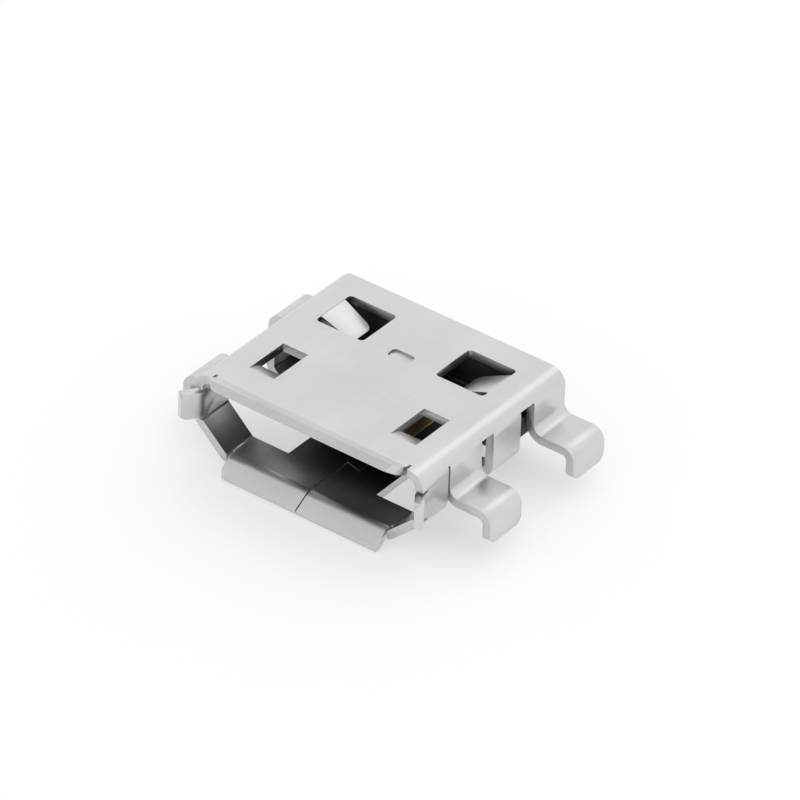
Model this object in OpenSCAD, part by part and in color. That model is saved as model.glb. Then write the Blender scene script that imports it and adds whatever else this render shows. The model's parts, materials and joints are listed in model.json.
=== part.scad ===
/* [Mouth] */
// Inside width of the mouth
opening_w = 6.9; // [6.6:0.05:7.2]
// Inside height of the mouth
opening_h = 1.95; // [1.85:0.05:2.1]
// Inside width of the flat floor between the sloping lower corners
floor_w = 5.22; // [5:0.02:5.5]
// Height of the upright side walls, measured inside
side_h = 1.17; // [1.05:0.01:1.25]

/* [Sheet] */
// Thickness of the shell's sheet
sheet_t = 0.25; // [0.2:0.01:0.3]
// Inside radius of the two upper corners
corner_r = 0.2; // [0.1:0.05:0.3]
// Inside radius of the folds at the sloping lower corners
fold_r = 0.12; // [0.08:0.02:0.2]
// Length of the shell from the mouth's edge to its back
shell_l = 6.46; // [6.4:0.02:7]
// Width of the seam where the two ends of the sheet meet
seam_gap = 0.04; // [0.02:0.01:0.08]
// Distance from the mouth's edge to the seam's locking key
key_y = 2.1; // [1.9:0.1:2.6]
// Length of the seam's locking key
key_l = 1.3; // [1:0.1:1.6]
// Width of the seam's locking key at its root
key_root = 0.45; // [0.35:0.05:0.5]
// Extra width of the key at its head, on each side of the length
key_flank = 0.12; // [0.05:0.01:0.2]

/* [Mouth flaps] */
// Inside radius of the bend at a flap's root
flap_bend_r = 0.25; // [0.15:0.05:0.35]
// Width of the relief notch beside each flap
notch_w = 0.08; // [0.05:0.01:0.12]
// Distance from the mouth's edge to the unsplayed corners
corner_setback = 0.32; // [0.2:0.02:0.4]
// Width of the upper flap
top_flap_w = 6.2; // [5.6:0.1:6.3]
// Length of the upper flap's sheet
top_flap_run = 0.48; // [0.4:0.02:0.6]
// Angle by which the upper flap is splayed out
top_flap_angle = 26; // [15:1:40]
// Radius of the upper flap's free corners
top_flap_tip_r = 0.44; // [0.3:0.02:0.5]
// Width of the lower flap
bottom_flap_w = 5.1; // [4.6:0.1:5.2]
// Length of the lower flap's sheet
bottom_flap_run = 0.56; // [0.5:0.02:0.65]
// Angle by which the lower flap is splayed out
bottom_flap_angle = 31; // [20:1:40]
// Radius of the lower flap's free corners
bottom_flap_tip_r = 0.24; // [0.1:0.02:0.4]
// Height of a side flap
side_flap_h = 0.78; // [0.7:0.02:0.9]
// Depth of the top of a side flap below the top face
side_flap_drop = 0.6; // [0.5:0.01:0.62]
// Length of a side flap's sheet
side_flap_run = 0.5; // [0.4:0.02:0.6]
// Angle by which the side flaps are splayed out
side_flap_angle = 36; // [15:1:40]
// Radius of the side flaps' free corners
side_flap_tip_r = 0.16; // [0.1:0.02:0.3]

/* [Latch windows] */
// Distance of each latch window's middle from the centre line
latch_x = 2.3; // [2.2:0.02:2.4]
// Width of a latch window
latch_w = 0.82; // [0.7:0.02:0.9]
// Distance from the mouth's edge to the start of the latch ramp
latch_ramp_y = 1.3; // [1.1:0.05:1.4]
// Length of the ramp bent down at a latch window's front edge
latch_ramp_l = 0.45; // [0.35:0.05:0.55]
// Depth that the ramp's edge dips below the top face
latch_ramp_dip = 0.16; // [0.1:0.01:0.25]
// Length of the latch window, from its ramp to its back edge
latch_l = 1; // [0.8:0.05:1.1]

/* [Spring windows] */
// Distance of each spring window's inner edge from the centre line
spring_x = 1.18; // [1.1:0.02:1.4]
// Width of a spring window
spring_w = 1.55; // [1.4:0.05:1.75]
// Distance from the mouth's edge to the front of a spring window
spring_y = 4.14; // [4:0.02:4.3]
// Length of a spring window
spring_l = 1.5; // [1.4:0.02:1.6]
// Gap beside the spring tongue at its root
spring_side_gap = 0.24; // [0.15:0.01:0.3]
// Gap between the spring tongue's tip and the window's inner edge
spring_end_gap = 0.56; // [0.4:0.02:0.7]
// Width by which the spring tongue narrows towards its tip, on each side
spring_taper = 0.1; // [0:0.02:0.2]
// Share of the spring tongue's tip taken up by each of its rounded corners
spring_tip_share = 0.25; // [0.1:0.05:0.45]
// Inside radius of the spring tongue's bend at its root
spring_bend_r = 0.3; // [0.2:0.05:0.5]
// Depth that the spring tongue's tip dips below the top face
spring_dip = 0.44; // [0.3:0.02:0.5]
// Corner radius of the windows
window_r = 0.12; // [0.05:0.01:0.2]

/* [Stamped dimple] */
// Distance from the mouth's edge to the middle of the stamped dimple
dimple_y = 4.25; // [4.1:0.05:4.6]
// Width of the dimple
dimple_w = 0.7; // [0.5:0.05:0.9]
// Length of the dimple along the shell
dimple_l = 0.38; // [0.3:0.02:0.5]
// Depth of the dimple
dimple_depth = 0.08; // [0.05:0.01:0.12]

/* [Legs] */
// Width of a leg
leg_w = 1.35; // [1.15:0.05:1.4]
// Distance from the mouth's edge to the front legs
leg_y = 1.5; // [1.4:0.02:1.6]
// Gap between the front ring and the front legs
leg_front_gap = 0.08; // [0.05:0.01:0.13]
// Gap behind the front legs
leg_back_gap = 0.5; // [0.3:0.05:0.6]
// Gap in front of the rear legs
leg_rear_gap = 0.58; // [0.4:0.02:0.64]
// Depth of the shoulders' upper face below the top face
shoulder_drop = 1.26; // [1.15:0.01:1.35]
// Inside radius of the bend from the wall to a shoulder
root_bend_r = 0.28; // [0.2:0.02:0.4]
// Inside radius of the bend from a shoulder to its tip
tip_bend_r = 0.14; // [0.1:0.02:0.2]
// Distance of the legs' outer faces from the centre line
leg_reach = 5.02; // [4.9:0.02:5.3]
// Depth of the legs' tips below the top face
leg_drop = 2.2; // [2.1:0.01:2.4]
// Radius of the corners at the legs' tips
leg_tip_r = 0.26; // [0.1:0.02:0.4]
// Depth below the top face at which the slots beside the legs begin
slot_drop = 0.3; // [0.25:0.01:0.4]
// Distance from the centre line to the openings that the legs were cut from
cut_x = 1.44; // [1.3:0.02:1.6]

/* [Insulator] */
// Distance from the mouth's edge to the front of the rear block
block_y = 4.95; // [4.9:0.05:5.2]
// Distance from the block's back face to the shell's back edge
block_setback = 0.1; // [0:0.02:0.2]
// Length of the low step on top of the block, under the spring tongues
step_l = 0.7; // [0.6:0.05:0.8]
// Depth of the step below the shell's inside top face
step_drop = 0.58; // [0.54:0.02:0.7]
// Width of the cross grooves in the step
groove_w = 0.12; // [0.08:0.02:0.16]
// Depth of the cross grooves in the step
groove_depth = 0.1; // [0.05:0.01:0.15]
// Clearance between the block's sides and the shell
block_fit = 0.03; // [0.01:0.01:0.06]
// Width of the tongue
tongue_w = 3.5; // [3.4:0.05:3.6]
// Thickness of the tongue
tongue_t = 0.6; // [0.5:0.02:0.65]
// Height of the space between the tongue and the shell's floor
tongue_gap = 0.45; // [0.4:0.01:0.5]
// Distance from the mouth's edge to the tongue's front
tongue_y = 1.75; // [1.6:0.05:1.9]
// Bevel along the tongue's front edge
tongue_bevel = 0.12; // [0.05:0.01:0.15]

/* [Contacts] */
// Distance between neighbouring contacts
contact_pitch = 0.65; // [0.6:0.01:0.7]
// Width of a contact
contact_w = 0.36; // [0.28:0.01:0.4]
// Thickness of a contact
contact_t = 0.15; // [0.12:0.01:0.18]
// Height by which a contact stands proud of the tongue
contact_proud = 0.02; // [0:0.005:0.04]
// Distance from the tongue's front to the contacts' front ends
contact_setback = 0.2; // [0.15:0.01:0.3]
// Length of a contact's solder foot
foot_l = 0.45; // [0.3:0.05:0.6]
// Length of the sloping run from the block's back to the foot
foot_run = 0.22; // [0.18:0.02:0.3]
// Length of the straight run behind the block before the slope
foot_lead = 0.12; // [0.08:0.02:0.16]
// Inside radius of the foot's bends
foot_bend_r = 0.06; // [0.04:0.01:0.08]

/* [Hidden] */
$fn = 48;
// Number of straight runs in the drawn arc of each rounded corner
arc_runs = 8;
// Length by which a cutting shape runs past the face that it cuts
over = 0.5;
// Length of a bent piece of sheet that is one with the wall behind its bend
root_overlap = 0.2;
// Number of cross grooves in the block's step
groove_count = 2;
// Number of contacts
contact_count = 5;

shell_w = opening_w + 2 * sheet_t;
shell_h = opening_h + 2 * sheet_t;
wall_x = shell_w / 2;
inner_x = opening_w / 2;
floor_z = -sheet_t - opening_h;
bottom_z = -shell_h;
chamfer_drop = opening_h - side_h;
chamfer_run = (opening_w - floor_w) / 2;
chamfer_tilt = atan(chamfer_drop / chamfer_run);
outer_side_h = sheet_t + side_h + sheet_t * tan((90 - chamfer_tilt) / 2);
outer_floor_x = floor_w / 2 + sheet_t * tan(chamfer_tilt / 2);

rear_leg_y = shell_l - leg_w;
// Height at which the bend out of the wall begins, down a leg
leg_root_z = root_bend_r - shoulder_drop;
seat_z = -shoulder_drop - sheet_t;

block_back_y = shell_l - block_setback;
block_top_z = -sheet_t;
tongue_top_z = floor_z + tongue_gap + tongue_t;
contact_top_z = tongue_top_z + contact_proud;
contact_y = tongue_y + contact_setback;
foot_top_z = seat_z + contact_t;
foot_y = block_back_y + foot_lead + foot_run;
foot_end_y = foot_y + foot_l;

// The part stands on its lower flap, with the middle of its box over the origin
front_y = -max(overhang(top_flap_angle), overhang(bottom_flap_angle), overhang(side_flap_angle));
lowest_z = bottom_z - rise(bottom_flap_run, bottom_flap_angle);
box_mid_y = (front_y + foot_end_y) / 2;

function unit(v) = v / norm(v);

// Points of the arc that rounds off one corner, [x, y, radius], of an outline
function corner_arc(before, here, after) =
    let (
        p = [here.x, here.y],
        u = unit([before.x, before.y] - p),
        v = unit([after.x, after.y] - p),
        half = acos(u * v) / 2,
        start = p + u * here.z / tan(half),
        centre = p + unit(u + v) * here.z / sin(half),
        first = atan2(start.y - centre.y, start.x - centre.x),
        turn = -sign(cross(u, v)) * (180 - 2 * half)
    )
    here.z <= 0 ? [p] : [
        for (i = [0 : arc_runs])
            let (a = first + turn * i / arc_runs)
                centre + here.z * [cos(a), sin(a)]
    ];

// Points of a closed outline whose corners, [x, y, radius], are rounded off
function rounded(corners) =
    let (n = len(corners))
    [for (i = [0 : n - 1]) each corner_arc(corners[(i + n - 1) % n], corners[i], corners[(i + 1) % n])];

function flat(p) = [p.x, p.y];

// Unit vector to the right of the run from a to b
function right_of(a, b) = let (d = unit(flat(b) - flat(a))) [d.y, -d.x];

// The corner of a folded sheet on the far side of one corner of its path
function far_corner(path, i, t) =
    let (
        last = len(path) - 1,
        m = i == 0 ? right_of(path[0], path[1]) : right_of(path[i - 1], path[i]),
        n = i == last ? m : right_of(path[i], path[i + 1]),
        p = flat(path[i]) + t * (m + n) / (1 + m * n),
        turns_right = i > 0 && i < last && cross(m, n) < 0
    )
    [p.x, p.y, i == 0 || i == last ? 0 : (turns_right ? path[i].z : path[i].z + t)];

function near_corner(path, i, t) =
    let (
        last = len(path) - 1,
        m = i == 0 ? [0, 0] : right_of(path[i - 1], path[i]),
        n = i == last ? [0, 0] : right_of(path[i], path[i + 1]),
        turns_right = i > 0 && i < last && cross(m, n) < 0
    )
    [path[i].x, path[i].y, i == 0 || i == last ? 0 : (turns_right ? path[i].z + t : path[i].z)];

// Outline of a folded sheet seen edge-on. The path, [x, y, inside bend radius], runs along one
// face, and the sheet lies to the right of it
function folded(path, t) = rounded(concat(
    [for (i = [0 : len(path) - 1]) near_corner(path, i, t)],
    [for (i = [len(path) - 1 : -1 : 0]) far_corner(path, i, t)]
));

// Moves a piece from the mouth's own place, at the middle of the top face's front edge
module placed() {
    translate([0, -box_mid_y, -lowest_z]) children();
}

// A shape drawn in X and Z, run along the shell from y to y + length
module along(y, length) {
    translate([0, y + length, 0])
        rotate([90, 0, 0])
            linear_extrude(length) children();
}

// A shape drawn in Y and Z, run across the shell from x to x + width
module across(x, width) {
    translate([x, 0, 0])
        rotate([90, 0, 90])
            linear_extrude(width) children();
}

module both_sides() {
    children();
    mirror([1, 0, 0]) children();
}

// Cross-section of the shell, with its mouth outline grown outward by the sheet
module ring_outline(outer) {
    grow = outer ? sheet_t : 0;
    x = inner_x + grow;
    top = outer ? 0 : -sheet_t;
    base = outer ? bottom_z : floor_z;
    side = outer ? -outer_side_h : -sheet_t - side_h;
    floor_x = outer ? outer_floor_x : floor_w / 2;
    polygon(rounded([
        [-x, top, corner_r + grow],
        [-x, side, fold_r + grow],
        [-floor_x, base, fold_r + grow],
        [floor_x, base, fold_r + grow],
        [x, side, fold_r + grow],
        [x, top, corner_r + grow]
    ]));
}

module ring() {
    along(corner_setback, shell_l - corner_setback)
        difference() {
            ring_outline(true);
            ring_outline(false);
        }
}

// How far a flap's face stands out from its wall at the mouth
function rise(run, angle) = run * sin(angle);

// How far a flap's inner edge leans out in front of its face
function overhang(angle) = sheet_t * sin(angle);

// Where the bend at a flap's root ends and the straight wall begins
function root_y(run, angle) = run * cos(angle) + (flap_bend_r + sheet_t) * tan(angle / 2);

// The front of the top wall, cleared for a flap and its relief notches
module flap_clearance(width, run, angle) {
    clear_t = sheet_t + corner_r;
    translate([-width / 2 - notch_w, -over, -clear_t])
        cube([width + 2 * notch_w, root_y(run, angle) + over, clear_t + over]);
}

// A flap's outline from above its face: free corners rounded, straight at the root
module flap_face(width, run, angle, tip_r) {
    front = -overhang(angle);
    back = root_y(run, angle) + root_overlap;
    polygon(rounded([
        [-width / 2, front, tip_r],
        [width / 2, front, tip_r],
        [width / 2, back, 0],
        [-width / 2, back, 0]
    ]));
}

// Edge-on outline of a splayed flap, whose face begins at the mouth and runs back
module flap_section(run, angle) {
    polygon(folded([
        [0, rise(run, angle), 0],
        [run * cos(angle), 0, flap_bend_r],
        [root_y(run, angle) + root_overlap, 0, 0]
    ], sheet_t));
}

// A flap of the top wall, splayed upward at the mouth
module flap(width, run, angle, tip_r) {
    intersection() {
        across(-width / 2, width) flap_section(run, angle);
        translate([0, 0, -sheet_t - over])
            linear_extrude(sheet_t + rise(run, angle) + 2 * over)
                flap_face(width, run, angle, tip_r);
    }
}

// Moves a piece of the top wall's front to the bottom wall
module on_bottom() {
    translate([0, 0, bottom_z])
        mirror([0, 0, 1]) children();
}

// Moves a piece of the top wall's front to the right wall
module on_side() {
    translate([wall_x, 0, -side_flap_drop - side_flap_h / 2])
        rotate([0, 90, 0]) children();
}

module flap_clearances() {
    flap_clearance(top_flap_w, top_flap_run, top_flap_angle);
    on_bottom() flap_clearance(bottom_flap_w, bottom_flap_run, bottom_flap_angle);
    both_sides()
        on_side() flap_clearance(side_flap_h, side_flap_run, side_flap_angle);
}

module flaps() {
    flap(top_flap_w, top_flap_run, top_flap_angle, top_flap_tip_r);
    on_bottom() flap(bottom_flap_w, bottom_flap_run, bottom_flap_angle, bottom_flap_tip_r);
    both_sides()
        on_side() flap(side_flap_h, side_flap_run, side_flap_angle, side_flap_tip_r);
}

// Plan of a window with rounded corners, from its low corner
module window_plan(width, length) {
    polygon(rounded([
        [0, 0, window_r],
        [width, 0, window_r],
        [width, length, window_r],
        [0, length, window_r]
    ]));
}

module latch_window_cut() {
    translate([latch_x - latch_w / 2, latch_ramp_y, -sheet_t - over])
        linear_extrude(sheet_t + 2 * over)
            square([latch_w, latch_ramp_l + latch_l]);
}

// The window's front edge, bent down so that a plug's latch rides over it
module latch_ramp() {
    across(latch_x - latch_w / 2, latch_w)
        polygon(folded([
            [latch_ramp_y - root_overlap, 0, 0],
            [latch_ramp_y, 0, 0],
            [latch_ramp_y + latch_ramp_l, -latch_ramp_dip, 0]
        ], sheet_t));
}

module spring_window_cut() {
    translate([spring_x, spring_y, -sheet_t - over])
        linear_extrude(sheet_t + 2 * over) window_plan(spring_w, spring_l);
}

// The tongue left in a spring window, rooted at its outer edge and pressed down at its tip
module spring_tongue() {
    root_x = spring_x + spring_w;
    tip_x = spring_x + spring_end_gap;
    low_y = spring_y + spring_side_gap;
    high_y = spring_y + spring_l - spring_side_gap;
    tip_w = spring_l - 2 * spring_side_gap - 2 * spring_taper;
    intersection() {
        along(spring_y, spring_l)
            polygon(folded([
                [tip_x, -spring_dip, 0],
                [root_x, 0, spring_bend_r],
                [root_x + root_overlap, 0, 0]
            ], sheet_t));
        translate([0, 0, -spring_dip - sheet_t - over])
            linear_extrude(spring_dip + sheet_t + 2 * over)
                polygon(rounded([
                    [tip_x, low_y + spring_taper, spring_tip_share * tip_w],
                    [root_x, low_y, 0],
                    [root_x + root_overlap, low_y, 0],
                    [root_x + root_overlap, high_y, 0],
                    [root_x, high_y, 0],
                    [tip_x, high_y - spring_taper, spring_tip_share * tip_w]
                ]));
    }
}

module dimple_plan() {
    translate([-dimple_w / 2, dimple_y - dimple_l / 2]) window_plan(dimple_w, dimple_l);
}

module dimple_hollow() {
    translate([0, 0, -dimple_depth])
        linear_extrude(dimple_depth + over) dimple_plan();
}

module dimple_swell() {
    translate([0, 0, -sheet_t - dimple_depth])
        linear_extrude(dimple_depth + sheet_t / 2) dimple_plan();
}

// The opening that one leg was cut from, through the wall, the sloping corner and the floor
module leg_cut(y, length) {
    translate([inner_x - over, y, bottom_z - over])
        cube([sheet_t + 2 * over, length, leg_root_z - bottom_z + over]);
    translate([cut_x, y, bottom_z - over])
        cube([wall_x - cut_x, length, sheet_t + chamfer_drop + over]);
}

// A slot up the wall that frees one edge of a leg
module leg_slot(y, length) {
    translate([inner_x - over, y, bottom_z - over])
        cube([sheet_t + 2 * over, length, over - bottom_z - slot_drop]);
}

module leg_cuts() {
    leg_cut(leg_y - leg_front_gap, leg_front_gap + leg_w + leg_back_gap);
    leg_slot(leg_y - leg_front_gap, leg_front_gap);
    leg_slot(leg_y + leg_w, leg_back_gap);
    leg_cut(rear_leg_y - leg_rear_gap, leg_rear_gap + leg_w + over);
    leg_slot(rear_leg_y - leg_rear_gap, leg_rear_gap);
}

// A leg bent out of the wall to a level shoulder and down to its tip
module leg(y) {
    intersection() {
        along(y, leg_w)
            polygon(folded([
                [wall_x, leg_root_z + root_overlap, 0],
                [wall_x, -shoulder_drop, root_bend_r],
                [leg_reach, -shoulder_drop, tip_bend_r],
                [leg_reach, -leg_drop, 0]
            ], sheet_t));
        across(inner_x - over, leg_reach - inner_x + 2 * over)
            polygon(rounded([
                [y, 0, 0],
                [y, -leg_drop, leg_tip_r],
                [y + leg_w, -leg_drop, leg_tip_r],
                [y + leg_w, 0, 0]
            ]));
    }
}

// The joint where the rolled sheet's ends meet, with a dovetail key
module seam_cut() {
    translate([0, 0, lowest_z - over])
        linear_extrude(floor_z - lowest_z + 2 * over)
            polygon(folded([
                [-seam_gap / 2, front_y - over, 0],
                [-seam_gap / 2, key_y, 0],
                [key_root, key_y - key_flank, 0],
                [key_root, key_y + key_l + key_flank, 0],
                [-seam_gap / 2, key_y + key_l, 0],
                [-seam_gap / 2, shell_l + over, 0]
            ], seam_gap));
}

module shell() {
    color("silver") placed()
        difference() {
            union() {
                difference() {
                    union() {
                        ring();
                        dimple_swell();
                    }
                    flap_clearances();
                    both_sides() {
                        latch_window_cut();
                        spring_window_cut();
                        leg_cuts();
                    }
                    dimple_hollow();
                }
                flaps();
                both_sides() {
                    latch_ramp();
                    spring_tongue();
                    leg(leg_y);
                    leg(rear_leg_y);
                }
            }
            seam_cut();
        }
}

// Outline of the rear block, a loose copy of the shell's inside that touches its top and floor
module block_outline() {
    x = inner_x - block_fit;
    polygon(rounded([
        [-x, block_top_z, corner_r],
        [-x, -sheet_t - side_h, fold_r],
        [-floor_w / 2 + block_fit, floor_z, fold_r],
        [floor_w / 2 - block_fit, floor_z, fold_r],
        [x, -sheet_t - side_h, fold_r],
        [x, block_top_z, corner_r]
    ]));
}

// Distance of each cross groove from the front of the step
function groove_y(i) = i * step_l / (groove_count + 1) - groove_w / 2;

module block() {
    difference() {
        along(block_y, block_back_y - block_y) block_outline();
        translate([-wall_x, block_y - over, block_top_z - step_drop])
            cube([shell_w, step_l + over, step_drop + over]);
        for (i = [1 : groove_count])
            translate([-wall_x, block_y + groove_y(i), block_top_z - step_drop - groove_depth])
                cube([shell_w, groove_w, groove_depth + over]);
    }
}

module tongue() {
    across(-tongue_w / 2, tongue_w)
        polygon([
            [tongue_y, tongue_top_z - tongue_bevel],
            [tongue_y + tongue_bevel, tongue_top_z],
            [block_y + over, tongue_top_z],
            [block_y + over, tongue_top_z - tongue_t],
            [tongue_y + tongue_bevel, tongue_top_z - tongue_t],
            [tongue_y, tongue_top_z - tongue_t + tongue_bevel]
        ]);
}

// Place of each contact across the tongue, counted from the right looking into the mouth
function contact_x(i) = ((contact_count - 1) / 2 - i) * contact_pitch;

module contact_body(i) {
    across(contact_x(i) - contact_w / 2, contact_w)
        polygon(folded([
            [contact_y, contact_top_z, 0],
            [block_back_y + foot_lead, contact_top_z, foot_bend_r],
            [foot_y, foot_top_z, foot_bend_r],
            [foot_end_y, foot_top_z, 0]
        ], contact_t));
}

module insulator() {
    color("#1c1c1e") placed()
        difference() {
            union() {
                block();
                tongue();
            }
            for (i = [0 : contact_count - 1]) {
                contact_body(i);
                // The open groove over the part of the contact that stands proud
                translate([contact_x(i) - contact_w / 2, contact_y, contact_top_z - contact_t / 2])
                    cube([contact_w, block_y - contact_y, contact_t]);
            }
        }
}

module contact(i) {
    color("#d6b25e") placed() contact_body(i);
}

module contact_power() { contact(0); }
module contact_data_minus() { contact(1); }
module contact_data_plus() { contact(2); }
module contact_id() { contact(3); }
module contact_ground() { contact(4); }

shell();
insulator();
contact_power();
contact_data_minus();
contact_data_plus();
contact_id();
contact_ground();
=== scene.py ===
"""Dresses the micro USB socket: its plated shell, black insulator and gold contacts, in a pale studio."""

import json
import math

import bpy
from bpy.props import FloatProperty, FloatVectorProperty, PointerProperty
from mathutils import Matrix, Vector


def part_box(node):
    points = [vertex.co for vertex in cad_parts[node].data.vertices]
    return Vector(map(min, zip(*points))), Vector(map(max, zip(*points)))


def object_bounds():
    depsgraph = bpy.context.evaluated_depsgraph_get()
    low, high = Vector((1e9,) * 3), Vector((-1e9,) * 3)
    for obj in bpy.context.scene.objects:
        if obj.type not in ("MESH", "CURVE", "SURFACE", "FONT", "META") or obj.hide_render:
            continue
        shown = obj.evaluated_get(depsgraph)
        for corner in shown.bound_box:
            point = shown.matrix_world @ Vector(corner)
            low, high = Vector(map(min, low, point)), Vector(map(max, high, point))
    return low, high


bl_info = {
    "name": "Micro USB Socket Dressing",
    "version": (1, 0, 0),
    "blender": (4, 5, 0),
    "location": "View3D > Sidebar > Socket",
    "description": "Finishes the shell, insulator and contacts of a micro USB socket and sets its studio",
    "category": "Object",
}

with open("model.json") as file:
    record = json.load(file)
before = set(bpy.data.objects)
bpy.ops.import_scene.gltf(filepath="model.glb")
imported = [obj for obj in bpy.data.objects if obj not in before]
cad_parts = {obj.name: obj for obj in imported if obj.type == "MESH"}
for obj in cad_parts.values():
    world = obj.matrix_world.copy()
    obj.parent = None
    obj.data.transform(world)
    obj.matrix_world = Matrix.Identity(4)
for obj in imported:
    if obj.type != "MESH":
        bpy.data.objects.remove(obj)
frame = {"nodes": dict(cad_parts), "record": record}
CAD_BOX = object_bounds()
NODES = frame["nodes"]
MOUNTS = {mount["name"]: Vector(mount["pos_m"]) for mount in frame["record"]["mounts"]}
CONTACTS = sorted(name for name in NODES if name.startswith("contact_"))
MM = 0.001
WHITE = (1.0, 1.0, 1.0)

# Directions in the frame, where X runs across the mouth, Y from the mouth to the solder feet and Z up
INTO_MOUTH = (0.0, 1.0, 0.0)
OUT_OF_MOUTH = (0.0, -1.0, 0.0)

# What a vector is multiplied by to leave out how deep it goes into the mouth
NO_DEPTH = (1.0, 0.0, 1.0)

# Where noise is neither high nor low
NOISE_MIDDLE = 0.5

# A step in how far a face looks towards the middle of the hollow behind the mouth, in millimetres
TURNED_IN = (0.0, 0.2)


class Wire:
    """A value on its way through a material: arithmetic on it adds Math nodes."""

    def __init__(self, paint, socket):
        self.paint = paint
        self.socket = socket

    def _math(self, operation, *values):
        return self.paint.add("ShaderNodeMath", {"operation": operation}, *values)

    def __add__(self, other):
        return self._math("ADD", self, other)

    __radd__ = __add__

    def __sub__(self, other):
        return self._math("SUBTRACT", self, other)

    def __rsub__(self, other):
        return self._math("SUBTRACT", other, self)

    def __mul__(self, other):
        return self._math("MULTIPLY", self, other)

    __rmul__ = __mul__

    def __abs__(self):
        return self._math("ABSOLUTE", self)

    def lowest(self, other):
        return self._math("MINIMUM", self, other)

    def swing(self, width):
        """Noise as a change to another value, up and down by half that width at most."""
        return (self - NOISE_MIDDLE) * width

    def between(self, low, high, new_low=0.0, new_high=1.0):
        """A smooth step: new_low up to low, new_high from high on, and a soft change in between."""
        settings = {"interpolation_type": "SMOOTHSTEP", "clamp": True}
        return self.paint.add("ShaderNodeMapRange", settings, self, low, high, new_low, new_high)


def pick(sockets, key):
    """The socket at that place or with that name, among those that the node's settings leave in use."""
    live = [socket for socket in sockets if socket.enabled]
    return live[key] if isinstance(key, int) else {socket.name: socket for socket in live}[key]


class Paint:
    """Builds one material or world out of nodes."""

    def __init__(self, tree):
        self.tree = tree
        tree.nodes.clear()

    def add(self, kind, settings=None, *values, output=0, **named):
        """Adds a node: its settings first, then the values or wires of its inputs, by place or by name."""
        node = self.tree.nodes.new(kind)
        for name, value in (settings or {}).items():
            setattr(node, name, value)
        for slot, value in enumerate(values):
            self._feed(pick(node.inputs, slot), value)
        for name, value in named.items():
            self._feed(pick(node.inputs, name.replace("_", " ")), value)
        return Wire(self, pick(node.outputs, output)) if node.outputs else None

    def _feed(self, socket, value):
        if isinstance(value, Wire):
            self.tree.links.new(value.socket, socket)
        else:
            socket.default_value = value

    def vector(self, operation, *values):
        """Arithmetic on places and directions."""
        return self.add("ShaderNodeVectorMath", {"operation": operation}, *values)

    def place(self):
        """Where a point of the piece is, in millimetres."""
        return self.vector("SCALE", self.add("ShaderNodeTexCoord", output="Object"), 1.0 / MM)

    def noise(self, place, per_mm, detail, roughness=0.5, pressed=None):
        """Noise with about that many patches in a millimetre, times the pressed factors along X, Y and Z."""
        if pressed:
            place = self.vector("MULTIPLY", place, pressed)
        return self.add("ShaderNodeTexNoise", None, place, Scale=per_mm, Detail=detail, Roughness=roughness)

    def normal(self):
        return self.add("ShaderNodeNewGeometry", output="True Normal")

    def facing(self, axis):
        """How squarely a face looks along that axis, either way."""
        return abs(self.vector("DOT_PRODUCT", self.normal(), axis))

    def inside(self, place, mouth, shallow, deep):
        """A step between two depths behind the mouth, only on faces that look into its hollow."""
        toward = self.vector("SUBTRACT", mouth, place)
        level = self.vector("MULTIPLY", toward, NO_DEPTH)
        inward = self.vector("DOT_PRODUCT", self.normal(), level)
        depth = self.vector("DOT_PRODUCT", toward, OUT_OF_MOUTH)
        return inward.between(*TURNED_IN) * depth.between(shallow, deep)

    def mixed(self, share, first, second):
        """The first colour, turning into the second as share goes from 0 to 1."""
        return self.add("ShaderNodeMix", {"data_type": "RGBA"}, share, first, second)


def tinted(colour, shade=1.0, lift=0.0):
    """The colour as a socket takes it, times shade and with lift added."""
    return (*(min(1.0, channel * shade + lift) for channel in colour), 1.0)


def material(name):
    """A new material, and the paint that builds it."""
    made = bpy.data.materials.new(name)
    made.use_nodes = True
    return made, Paint(made.node_tree)


def seen(paint):
    """1 for what the camera sees, straight, in metal or through glass, and 0 for all other light."""
    rays = ("Is Camera Ray", "Is Glossy Ray", "Is Transmission Ray")
    return sum(paint.add("ShaderNodeLightPath", output=ray) for ray in rays).lowest(1.0)


def finish_surface(paint, look, relief, depth, **named):
    """Ends a material with one Principled surface, whose relief is that deep at full grain."""
    normal = paint.add("ShaderNodeBump", None, Strength=look.grain, Distance=depth, Height=relief)
    surface = paint.add("ShaderNodeBsdfPrincipled", None, Normal=normal, **named)
    paint.add("ShaderNodeOutputMaterial", None, surface)


def wear(piece, made):
    """Makes that material the piece's only one."""
    piece.data.materials.clear()
    piece.data.materials.append(made)


# The shell's plating: steps in noise, in how squarely a face looks along Y, and in millimetres of depth
# where the painted shade inside the mouth sets in
CLOUD_STEP = (0.25, 0.75)
RUB_STEP = (0.58, 0.75)
CUT_STEP = (0.9, 0.98)
PAINTED_SHADE_DEPTHS = (0.8, 2.4)

# Its brightness where it is dull, torn by the punch or darkened by painted shade deep inside the mouth, and
# how its patterns make it bright or torn
DULL_SHADE = 0.86
TORN_SHADE = 0.7
PAINTED_SHADE_INSIDE = 0.4
CLOUD_BRIGHTNESS = 0.5
ROLLING_BRIGHTNESS = 0.45
UNRUBBED_BRIGHTNESS = 0.12
EVEN_TEAR = 0.1
PATCHY_TEAR = 0.5

# What its patterns add to its roughness and relief, and how deep the relief is at full grain
CLOUD_ROUGHNESS = 0.08
ROLLING_ROUGHNESS = 0.06
RUB_ROUGHNESS = 0.04
CUT_ROUGHNESS = 0.1
PEEL_RELIEF = 0.5
ROLLING_RELIEF = 0.3
PLATING_DEPTH = 0.01 * MM


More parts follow.
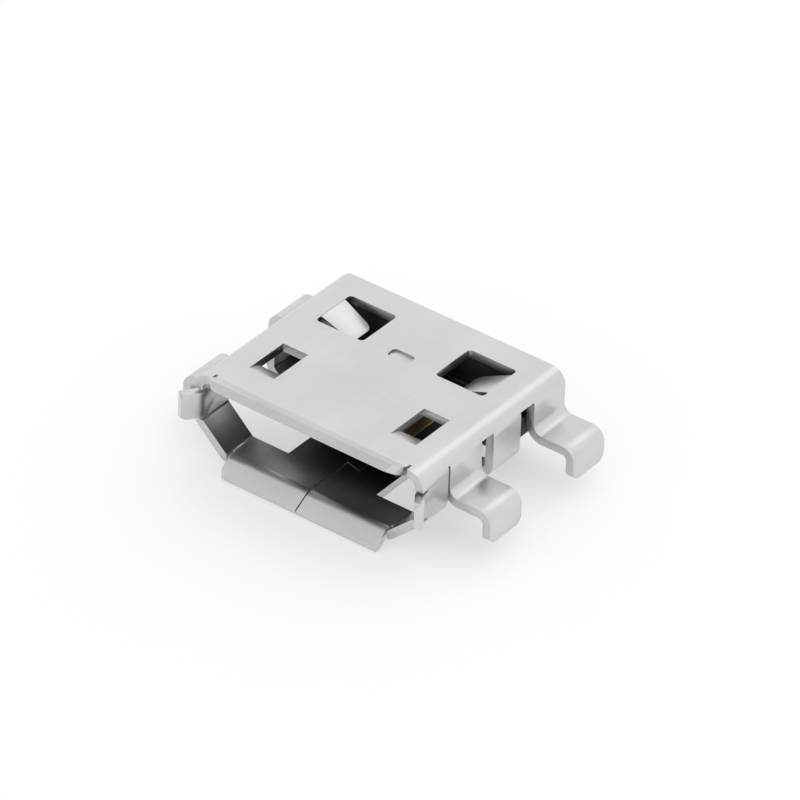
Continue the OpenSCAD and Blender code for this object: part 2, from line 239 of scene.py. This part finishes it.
def plated_sheet(look):
    """Stamped sheet with a satin nickel plating, which is thin where the punch cut, and darkened with
    painted shade deep inside the mouth.
    """
    made, paint = material("plated_sheet")
    place = paint.place()
    cloud = paint.noise(place, per_mm=0.5, detail=3.0)
    rolling = paint.noise(place, per_mm=1.2, detail=2.0, pressed=(8.0, 0.6, 8.0))
    peel = paint.noise(place, per_mm=4.0, detail=1.0)
    rub = paint.noise(place, per_mm=2.0, detail=2.0, pressed=(0.5, 5.0, 3.0)).between(*RUB_STEP)
    tear = paint.noise(place, per_mm=4.0, detail=2.0, pressed=(3.0, 1.0, 1.0))
    cut = paint.facing(INTO_MOUTH).between(*CUT_STEP)
    # Painted shade: a mask that grows deeper inside the mouth, where little light reaches
    deep = paint.inside(place, MOUNTS["plug_mouth"] / MM, *PAINTED_SHADE_DEPTHS)
    bright = (
        cloud.between(*CLOUD_STEP) * CLOUD_BRIGHTNESS
        + rolling * ROLLING_BRIGHTNESS
        + (1.0 - rub) * UNRUBBED_BRIGHTNESS
    )
    sheet = paint.mixed(bright.lowest(1.0), tinted(look.colour, DULL_SHADE), tinted(look.colour))
    torn = cut * (EVEN_TEAR + tear * PATCHY_TEAR)
    punched = paint.mixed(torn, sheet, tinted(look.colour, TORN_SHADE))
    # Painted shade darkens the sheet deep inside the mouth
    colour = paint.mixed(deep, punched, tinted(look.colour, PAINTED_SHADE_INSIDE))
    rough = (
        look.roughness
        + cloud.swing(CLOUD_ROUGHNESS)
        + rolling.swing(ROLLING_ROUGHNESS)
        + rub * RUB_ROUGHNESS
        + cut * CUT_ROUGHNESS
    )
    relief = peel * PEEL_RELIEF + rolling * ROLLING_RELIEF + cut * tear
    finish_surface(paint, look, relief, PLATING_DEPTH, Base_Color=colour, Metallic=1.0, Roughness=rough)
    return made


# The insulator's plastic: where its cloud is pale and how pale, and how rough and deep its patterns are
PALE_STEP = (0.35, 0.7)
PALE_SHADE = 1.6
PALE_LIFT = 0.002
HAZE_ROUGHNESS = 0.1
GRAIN_ROUGHNESS = 0.12
MOULDING_DEPTH = 0.01 * MM


def black_moulding(look):
    """Fine-grained black plastic."""
    made, paint = material("black_moulding")
    place = paint.place()
    cloud = paint.noise(place, per_mm=1.4, detail=3.0)
    grain = paint.noise(place, per_mm=40.0, detail=3.0, roughness=0.6)
    pale = tinted(look.colour, PALE_SHADE, PALE_LIFT)
    colour = paint.mixed(cloud.between(*PALE_STEP), tinted(look.colour), pale)
    rough = look.roughness + cloud.swing(HAZE_ROUGHNESS) + grain.swing(GRAIN_ROUGHNESS)
    finish_surface(paint, look, grain, MOULDING_DEPTH, Base_Color=colour, Roughness=rough)
    return made


# The contacts' gold: where its cloud is pale and how pale, and how rough and deep its drawing streaks are
SHINE_STEP = (0.3, 0.7)
SHINE_SHADE = 1.12
STREAK_ROUGHNESS = 0.1
STREAK_DEPTH = 0.004 * MM


def gold_plate(look):
    """Thin gold over stamped contact strip."""
    made, paint = material("gold_plate")
    place = paint.place()
    streak = paint.noise(place, per_mm=2.0, detail=3.0, pressed=(12.0, 0.6, 12.0))
    cloud = paint.noise(place, per_mm=3.0, detail=2.0)
    colour = paint.mixed(cloud.between(*SHINE_STEP), tinted(look.colour), tinted(look.colour, SHINE_SHADE))
    rough = look.roughness + streak.swing(STREAK_ROUGHNESS)
    finish_surface(paint, look, streak, STREAK_DEPTH, Base_Color=colour, Metallic=1.0, Roughness=rough)
    return made


# Rounding: nearer points are joined, faces that turn less are one flat, and sharper edges are rounded
SAME_POINT = 0.0005 * MM
SAME_FLAT = math.radians(0.5)
SHARP_EDGE = math.radians(35.0)


def modify(piece, name, kind, **settings):
    """Adds a modifier to the piece, with those settings."""
    modifier = piece.modifiers.new(name, kind)
    for setting, value in settings.items():
        setattr(modifier, setting, value)


def soften(piece, width):
    """Rounds the sharp edges of a piece by that width, and shades its curves smoothly and its flats flat."""
    modify(piece, "joined_faces", "WELD", merge_threshold=SAME_POINT)
    modify(piece, "whole_flats", "DECIMATE", decimate_type="DISSOLVE", angle_limit=SAME_FLAT)
    modify(
        piece, "rolled_edges", "BEVEL",
        width=width, segments=2, limit_method="ANGLE", angle_limit=SHARP_EDGE, face_strength_mode="FSTR_ALL",
    )
    modify(piece, "flat_shading", "WEIGHTED_NORMAL", weight=90, use_face_influence=True)


def dress(names, look, made):
    """Rounds the edges of those pieces and gives them that material."""
    for name in names:
        soften(NODES[name], look.edge)
        wear(NODES[name], made)


# The least roughness that a look can be given
SMOOTHEST = 0.05


def colour_property(description, default):
    return FloatVectorProperty(
        name="Colour", description=description, subtype="COLOR", default=default, min=0, max=1
    )


def share_property(name, description, default):
    return FloatProperty(
        name=name, description=description, subtype="FACTOR", default=default, min=0, max=1
    )


def roughness_property(description, default):
    return FloatProperty(
        name="Roughness", description=description, subtype="FACTOR", default=default, min=SMOOTHEST, max=1
    )


def length_property(name, description, default):
    return FloatProperty(
        name=name, description=description, subtype="DISTANCE", unit="LENGTH", default=default
    )


def angle_property(name, description, degrees):
    return FloatProperty(
        name=name, description=description, subtype="ANGLE", default=math.radians(degrees)
    )


def brightness_property(name, description, default):
    return FloatProperty(name=name, description=description, default=default, min=0)


class SheetLook(bpy.types.PropertyGroup):
    colour: colour_property("Colour of the plating", (0.7, 0.7, 0.69))
    roughness: roughness_property("How far the plating blurs what it reflects", 0.33)
    grain: share_property("Grain", "Strength of the rolled sheet's grain", 0.12)
    edge: length_property("Edge", "Rounding left on the stamped edges", 0.02 * MM)


class MouldingLook(bpy.types.PropertyGroup):
    colour: colour_property("Colour of the plastic", (0.012, 0.012, 0.013))
    roughness: roughness_property("How matte the plastic is", 0.45)
    grain: share_property("Grain", "Strength of the mould's texture", 0.2)
    edge: length_property("Edge", "Rounding of the moulded edges", 0.02 * MM)


class ContactLook(bpy.types.PropertyGroup):
    colour: colour_property("Colour of the gold", (0.83, 0.62, 0.3))
    roughness: roughness_property("How far the gold blurs what it reflects", 0.34)
    grain: share_property("Grain", "Strength of the strip's drawing lines", 0.15)
    edge: length_property("Edge", "Rounding of the cut edges", 0.008 * MM)


class StudioLook(bpy.types.PropertyGroup):
    azimuth: angle_property("Azimuth", "Camera's angle round the socket, from its mouth", 36.0319)
    elevation: angle_property("Elevation", "Camera's angle above the floor", 35.0399)
    roll: angle_property("Roll", "Camera's turn about its own view", 2.13425)
    distance: length_property("Distance", "From the camera to the socket's rear top edge", 177.6 * MM)
    lens: FloatProperty(
        name="Lens",
        description="Focal length in millimetres, on a sensor 36 mm wide",
        subtype="DISTANCE_CAMERA",
        default=305.148,
    )
    across: length_property("Across", "How far the rear top edge is right of the view's middle", 1.3657 * MM)
    up: length_property("Up", "How far the rear top edge is above the view's middle", 2.1186 * MM)
    ambient: brightness_property("Ambient", "Light from all round", 1.13)
    front: share_property("Front", "Brightness of the room's front beside its back", 0.75)
    glow: share_property("Glow", "How much of its own white the floor shows", 0.5)
    box_light: brightness_property("Box light", "Brightness of the soft box behind the socket", 0.35)
    box_size: length_property("Box size", "Side of the soft box", 110 * MM)
    box_distance: length_property("Box distance", "From the socket's top to the soft box", 200 * MM)


# The studio's light: the ways to the room's bright side and to the soft box, and how the room dims
TOWARD_BRIGHT_SIDE = (0.0, 0.8, 0.6)
TOWARD_BOX = (0.05, 0.66, 0.75)
ROOM_STEP = (-0.2, 0.8)

# Its floor and its camera
FLOOR_DULLEST = 0.97
FLOOR_BRIGHTEST = 0.985
FLOOR_REACH = 500 * MM
SENSOR_WIDTH = 36.0
NEAREST_SEEN = 1 * MM
FARTHEST_SEEN = 5000 * MM


def light_room(look):
    """A plain white room, a little dimmer in front, which reflections see as the camera does."""
    world = bpy.data.worlds.new("white_room")
    world.use_nodes = True
    bpy.context.scene.world = world
    paint = Paint(world.node_tree)
    way = paint.add("ShaderNodeTexCoord", output="Generated")
    behind = paint.vector("DOT_PRODUCT", way, TOWARD_BRIGHT_SIDE).between(*ROOM_STEP, look.front, 1.0)
    level = look.ambient + seen(paint) * (1.0 - look.ambient)
    back = paint.add("ShaderNodeBackground", None, tinted(WHITE), level * behind)
    paint.add("ShaderNodeOutputWorld", None, back)


def hang_box(look):
    """A square soft box behind and above the socket, which shines as bright whatever its size."""
    toward = Vector(TOWARD_BOX).normalized()
    lamp = bpy.data.lights.new("back_box", "AREA")
    lamp.shape = "SQUARE"
    lamp.size = look.box_size
    lamp.energy = look.box_light * math.pi * look.box_size ** 2
    holder = bpy.data.objects.new("back_box", lamp)
    bpy.context.scene.collection.objects.link(holder)
    holder.location = Vector((0.0, 0.0, MOUNTS["top_face"].z)) + toward * look.box_distance
    holder.rotation_euler = toward.to_track_quat("Z", "Y").to_euler()


def set_floor(look):
    """A pale floor far wider than the view, whose own white thins the shadow on it."""
    made, paint = material("pale_floor")
    grain = paint.noise(paint.place(), per_mm=0.2, detail=2.0)
    colour = paint.mixed(grain, tinted(WHITE, FLOOR_DULLEST), tinted(WHITE, FLOOR_BRIGHTEST))
    matte = paint.add(
        "ShaderNodeBsdfPrincipled", None, Base_Color=colour, Roughness=0.9, Specular_IOR_Level=0.1
    )
    white = paint.add("ShaderNodeEmission", None, Color=tinted(WHITE), Strength=1.0)
    shown = paint.add("ShaderNodeMixShader", None, seen(paint) * look.glow, matte, white)
    paint.add("ShaderNodeOutputMaterial", None, shown)
    low = CAD_BOX[0][2]
    square = ((-1, -1), (1, -1), (1, 1), (-1, 1))
    corners = [(x * FLOOR_REACH, y * FLOOR_REACH, low) for x, y in square]
    mesh = bpy.data.meshes.new("floor")
    mesh.from_pydata(corners, [], [(0, 1, 2, 3)])
    floor = bpy.data.objects.new("floor", mesh)
    bpy.context.scene.collection.objects.link(floor)
    wear(floor, made)


def set_camera(look):
    """A long lens at the photograph's angle, placed by the middle of the socket's rear top edge."""
    back_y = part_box("shell")[1].y
    edge = Vector((0.0, back_y, MOUNTS["top_face"].z))
    toward = Vector((
        math.sin(look.azimuth) * math.cos(look.elevation),
        -math.cos(look.azimuth) * math.cos(look.elevation),
        math.sin(look.elevation),
    ))
    level = Vector((math.cos(look.azimuth), math.sin(look.azimuth), 0.0))
    raised = toward.cross(level)
    right = math.cos(look.roll) * level + math.sin(look.roll) * raised
    top = math.cos(look.roll) * raised - math.sin(look.roll) * level
    data = bpy.data.cameras.new("camera")
    data.lens = look.lens
    data.sensor_width = SENSOR_WIDTH
    data.clip_start = NEAREST_SEEN
    data.clip_end = FARTHEST_SEEN
    camera = bpy.data.objects.new("camera", data)
    bpy.context.scene.collection.objects.link(camera)
    place = edge + look.distance * toward - look.across * right - look.up * top
    turn = Matrix((right, top, toward)).transposed().to_4x4()
    camera.matrix_world = Matrix.Translation(place) @ turn
    bpy.context.scene.camera = camera


class SOCKET_OT_shell(bpy.types.Operator):
    """Finishes the folded shell: rolled edges and satin plating"""

    bl_idname = "socket.shell"
    bl_label = "Shell"

    def execute(self, context):
        look = context.scene.socket_shell
        dress(["shell"], look, plated_sheet(look))
        return {"FINISHED"}


class SOCKET_OT_insulator(bpy.types.Operator):
    """Finishes the black insulator"""

    bl_idname = "socket.insulator"
    bl_label = "Insulator"

    def execute(self, context):
        look = context.scene.socket_insulator
        dress(["insulator"], look, black_moulding(look))
        return {"FINISHED"}


class SOCKET_OT_contacts(bpy.types.Operator):
    """Finishes the row of gold-plated contacts"""

    bl_idname = "socket.contacts"
    bl_label = "Contacts"

    def execute(self, context):
        look = context.scene.socket_contacts
        if not CONTACTS:
            raise RuntimeError("the packed model has no contacts")
        dress(CONTACTS, look, gold_plate(look))
        return {"FINISHED"}


class SOCKET_OT_studio(bpy.types.Operator):
    """Sets the white room, the floor, the soft box and the camera"""

    bl_idname = "socket.studio"
    bl_label = "Studio"

    def execute(self, context):
        look = context.scene.socket_studio
        context.scene.view_settings.view_transform = "Standard"
        light_room(look)
        set_floor(look)
        hang_box(look)
        set_camera(look)
        return {"FINISHED"}


STEPS = (
    (SOCKET_OT_shell, "socket_shell", SheetLook),
    (SOCKET_OT_insulator, "socket_insulator", MouldingLook),
    (SOCKET_OT_contacts, "socket_contacts", ContactLook),
    (SOCKET_OT_studio, "socket_studio", StudioLook),
)


class SOCKET_PT_sidebar(bpy.types.Panel):
    """Lists the socket's pieces and their looks"""

    bl_idname = "SOCKET_PT_sidebar"
    bl_label = "Socket"
    bl_space_type = "VIEW_3D"
    bl_region_type = "UI"
    bl_category = "Socket"

    def draw(self, context):
        for operator, group, look in STEPS:
            box = self.layout.box()
            box.operator(operator.bl_idname)
            for name in look.__annotations__:
                box.prop(getattr(context.scene, group), name)


def register():
    for operator, group, look in STEPS:
        bpy.utils.register_class(look)
        setattr(bpy.types.Scene, group, PointerProperty(type=look))
        bpy.utils.register_class(operator)
    bpy.utils.register_class(SOCKET_PT_sidebar)


def unregister():
    bpy.utils.unregister_class(SOCKET_PT_sidebar)
    for operator, group, look in reversed(STEPS):
        bpy.utils.unregister_class(operator)
        delattr(bpy.types.Scene, group)
        bpy.utils.unregister_class(look)


def main():
    register()
    bpy.ops.socket.shell()
    bpy.ops.socket.insulator()
    bpy.ops.socket.contacts()
    bpy.ops.socket.studio()


if __name__ == "__main__":
    main()
